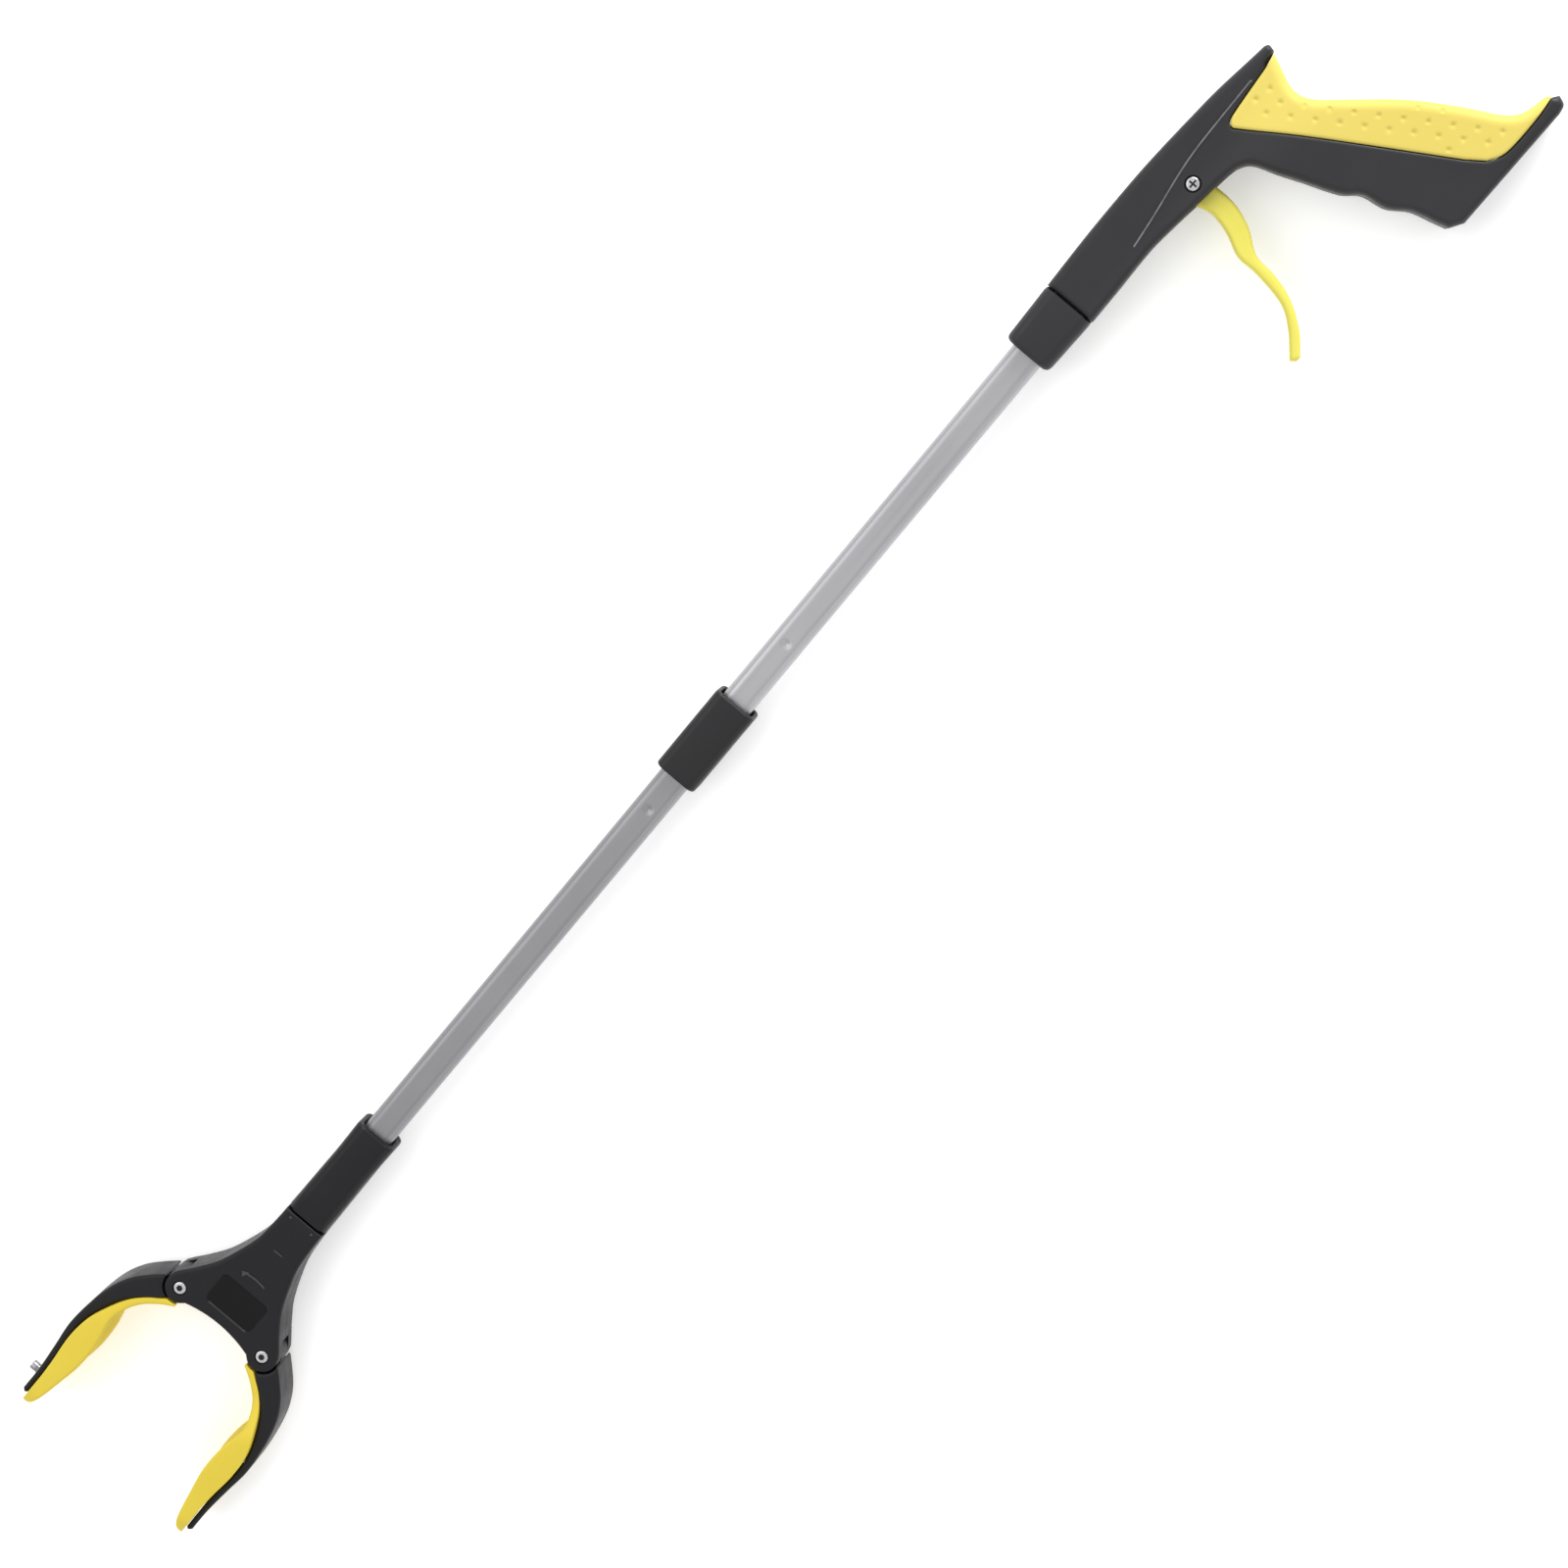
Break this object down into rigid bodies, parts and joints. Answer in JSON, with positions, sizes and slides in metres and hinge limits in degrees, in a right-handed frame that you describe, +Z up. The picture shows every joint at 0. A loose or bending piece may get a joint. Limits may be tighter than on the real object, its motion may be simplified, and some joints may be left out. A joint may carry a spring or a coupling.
{
  "type": "reacher grabber",
  "caption": "Folding reacher grabber with a pistol grip and trigger, an aluminium tube with a central fold lock, and a swivelling claw with soft cupped jaws.",
  "frame": {"origin": "bottom centre of the whole tool's box as it lies on its side", "axes": "+X along the tubes from the claw to the handle, +Y away from the trigger, +Z up through the thickness"},
  "size_m": [0.808, 0.146, 0.028],
  "materials": {
    "black_plastic": "fine-grained black moulded plastic",
    "yellow_plastic": "satin yellow moulded plastic",
    "yellow_rubber": "soft yellow elastomer with small dimples",
    "aluminium": "satin anodised, faint lengthwise grain",
    "steel": "zinc-plated steel",
    "magnet": "nickel-plated magnet",
    "acetal": "natural slippery plastic, inside the tool"
  },
  "bodies": {
    "handle": {"handle_shell_left": "black_plastic", "handle_shell_right": "black_plastic", "grip_cover": "yellow_rubber", "nose_collar": "black_plastic", "trigger_pivot_screw": "steel", "trigger_pivot_nut": "steel", "shell_screw_nose": "steel", "shell_screw_grip": "steel", "shell_screw_butt": "steel", "upper_tube": "aluminium", "fold_hinge_block_upper": "black_plastic", "fold_hinge_pin": "steel", "rod_guide_middle": "acetal", "rod_guide_rear": "acetal"},
    "trigger": {"trigger": "yellow_plastic", "trigger_return_spring": "steel"},
    "upper_rod": {"upper_push_rod": "steel", "upper_rod_foot": "acetal"},
    "lock_sleeve": {"lock_sleeve": "black_plastic"},
    "lower_arm": {"lower_tube": "aluminium", "fold_hinge_block_lower": "black_plastic", "rod_guide_lower": "acetal", "neck_socket": "black_plastic", "swivel_spigot": "acetal", "socket_rivet": "steel"},
    "lower_rod": {"lower_push_rod": "steel", "plunger_head": "acetal"},
    "claw": {"claw_shell_front": "black_plastic", "claw_shell_back": "black_plastic", "jaw_pivot_screw_upper": "steel", "jaw_pivot_screw_lower": "steel", "jaw_pivot_nut_upper": "steel", "jaw_pivot_nut_lower": "steel", "claw_shell_screw_upper": "steel", "claw_shell_screw_lower": "steel"},
    "crosshead": {"crosshead": "acetal", "claw_return_spring": "steel"},
    "jaw_upper": {"jaw_arm_upper": "black_plastic", "jaw_pad_upper": "yellow_rubber", "tail_pin_upper": "steel", "tip_magnet": "magnet"},
    "jaw_lower": {"jaw_arm_lower": "black_plastic", "jaw_pad_lower": "yellow_rubber", "tail_pin_lower": "steel"}
  },
  "joints": [
    {"name": "trigger_squeeze", "type": "hinge", "parent": "handle", "child": "trigger", "pos_m": [0.294, 0.015, 0.014], "axis": [0, 0, 1], "range_deg": [0, 32], "stiffness_Nm_per_rad": 0.9, "springref_deg": -8.59, "deforming": ["trigger_return_spring"]},
    {"name": "upper_rod_slide", "type": "slide", "parent": "handle", "child": "upper_rod", "axis": [-1, 0, 0], "range_m": [0, 0.0036]},
    {"name": "fold_hinge", "type": "hinge", "parent": "handle", "child": "lower_arm", "pos_m": [-0.0085, 0.0282, 0.014], "axis": [0, 0, -1], "range_deg": [0, 165]},
    {"name": "lock_sleeve_slide", "type": "slide", "parent": "handle", "child": "lock_sleeve", "axis": [1, 0, 0], "range_m": [0, 0.03]},
    {"name": "lower_rod_slide", "type": "slide", "parent": "lower_arm", "child": "lower_rod", "axis": [-1, 0, 0], "range_m": [0, 0.0036]},
    {"name": "claw_swivel", "type": "hinge", "parent": "lower_arm", "child": "claw", "pos_m": [-0.26, 0.022, 0.014], "axis": [1, 0, 0], "range_deg": [0, 90]},
    {"name": "crosshead_slide", "type": "slide", "parent": "claw", "child": "crosshead", "axis": [-1, 0, 0], "range_m": [0, 0.0036], "deforming": ["claw_return_spring"]},
    {"name": "jaw_upper_hinge", "type": "hinge", "parent": "claw", "child": "jaw_upper", "pos_m": [-0.319, 0.0445, 0.014], "axis": [0, 0, 1], "range_deg": [0, 27]},
    {"name": "jaw_lower_hinge", "type": "hinge", "parent": "claw", "child": "jaw_lower", "pos_m": [-0.319, -0.0005, 0.014], "axis": [0, 0, -1], "range_deg": [0, 27]}
  ],
  "couplings": [
    {"joint": "upper_rod_slide", "follows": "trigger_squeeze", "m_per_rad": 0.006445},
    {"joint": "lower_rod_slide", "follows": "trigger_squeeze", "m_per_rad": 0.006445},
    {"joint": "crosshead_slide", "follows": "trigger_squeeze", "m_per_rad": 0.006445},
    {"joint": "jaw_upper_hinge", "follows": "trigger_squeeze", "ratio": 0.84375},
    {"joint": "jaw_lower_hinge", "follows": "trigger_squeeze", "ratio": 0.84375},
    {"joint": "lock_sleeve_slide", "follows": "fold_hinge", "m_per_rad": 0.010416}
  ]
}
